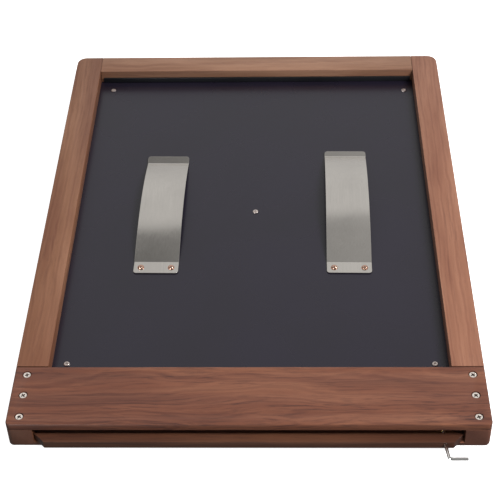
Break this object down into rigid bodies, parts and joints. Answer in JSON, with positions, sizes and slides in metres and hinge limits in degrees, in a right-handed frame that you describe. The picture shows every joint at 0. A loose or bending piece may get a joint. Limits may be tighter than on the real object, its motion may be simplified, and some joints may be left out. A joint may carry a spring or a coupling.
{
  "type": "sheet film holder",
  "caption": "Single-sided wooden sheet film holder lying lens side down: walnut frame, black back panel, leaf springs, dark slide with handle and turning wire lock.",
  "frame": {"origin": "centre of the bounding box's base, with the holder lying on its lens-side face; the lock wire's front counts in the box's length", "axes": "+Y along the holder's length, from the slide handle to the far rail; +Z out of the back, away from the lens; +X to the right seen from the handle end with the back up"},
  "size_m": [0.236, 0.3276, 0.016],
  "materials": {
    "walnut": "oiled walnut, open grain, satin",
    "dark_walnut": "oiled walnut, darker and redder, satin",
    "black_panel": "black anodised sheet, satin",
    "sheath_sheet": "thin black sheet, matt",
    "black_sheet": "black fibre sheet, fine matt",
    "velvet": "black velvet pile",
    "stainless": "stainless, brushed across the leaf",
    "copper": "copper, lightly polished",
    "nickel": "nickel plated, bright",
    "brass": "turned brass",
    "beech": "plain beech, unfinished"
  },
  "bodies": {
    "frame": {"back_panel": "black_panel", "centre_panel_rivet": "nickel", "cover_rail": "dark_walnut", "far_left_panel_rivet": "nickel", "far_rail": "walnut", "far_right_panel_rivet": "nickel", "far_seal_strip": "black_sheet", "film_sheath": "sheath_sheet", "flap_hinge_pin": "stainless", "left_far_dowel": "beech", "left_front_cover_screw": "nickel", "left_leaf_foot": "stainless", "left_leaf_left_rivet": "copper", "left_leaf_right_rivet": "copper", "left_middle_cover_screw": "nickel", "left_rear_cover_screw": "nickel", "left_stile": "walnut", "lens_front_bar": "walnut", "light_trap_spring": "stainless", "lock_keeper": "brass", "lower_light_trap": "velvet", "near_cross_rail": "walnut", "near_left_panel_rivet": "nickel", "near_right_panel_rivet": "nickel", "right_far_dowel": "beech", "right_front_cover_screw": "nickel", "right_leaf_foot": "stainless", "right_leaf_left_rivet": "copper", "right_leaf_right_rivet": "copper", "right_middle_cover_screw": "nickel", "right_rear_cover_screw": "nickel", "right_stile": "walnut", "upper_light_trap": "velvet"},
    "slide": {"dark_slide": "black_sheet", "slide_handle": "dark_walnut", "left_handle_pin": "nickel", "middle_handle_pin": "nickel", "right_handle_pin": "nickel", "lock_bush": "brass"},
    "lock": {"lock_wire": "stainless"},
    "flap": {"loading_flap": "walnut"},
    "left_leaf_near": {"left_leaf_near_half": "stainless"},
    "left_leaf_far": {"left_leaf_far_half": "stainless"},
    "right_leaf_near": {"right_leaf_near_half": "stainless"},
    "right_leaf_far": {"right_leaf_far_half": "stainless"}
  },
  "joints": [
    {"name": "dark_slide_draw", "type": "slide", "parent": "frame", "child": "slide", "axis": [0, -1, 0], "range_m": [0, 0.265]},
    {"name": "lock_turn", "type": "hinge", "parent": "slide", "child": "lock", "pos_m": [0.0954, -0.1506, 0.0056], "axis": [0, -1, 0], "range_deg": [0, 90]},
    {"name": "loading_flap_hinge", "type": "hinge", "parent": "frame", "child": "flap", "pos_m": [0, -0.1198, 0.0013], "axis": [-1, 0, 0], "range_deg": [0, 95]},
    {"name": "left_leaf_press", "type": "hinge", "parent": "frame", "child": "left_leaf_near", "pos_m": [-0.0532, -0.027, 0.0082], "axis": [-0.9999, 0.0122, 0], "range_deg": [0, 6.4], "stiffness_Nm_per_rad": 5},
    {"name": "left_leaf_crown_flex", "type": "hinge", "parent": "left_leaf_near", "child": "left_leaf_far", "pos_m": [-0.05266, 0.0168, 0.0143], "axis": [-0.9999, 0.0122, 0], "range_deg": [-13, 0]},
    {"name": "right_leaf_press", "type": "hinge", "parent": "frame", "child": "right_leaf_near", "pos_m": [0.0539, -0.0275, 0.0082], "axis": [-0.9999, 0.0122, 0], "range_deg": [0, 7.4], "stiffness_Nm_per_rad": 5},
    {"name": "right_leaf_crown_flex", "type": "hinge", "parent": "right_leaf_near", "child": "right_leaf_far", "pos_m": [0.05448, 0.0196, 0.0155], "axis": [-0.9999, 0.0122, 0], "range_deg": [-15, 0]}
  ],
  "couplings": [
    {"joint": "left_leaf_crown_flex", "follows": "left_leaf_press", "ratio": -2},
    {"joint": "right_leaf_crown_flex", "follows": "right_leaf_press", "ratio": -2}
  ]
}
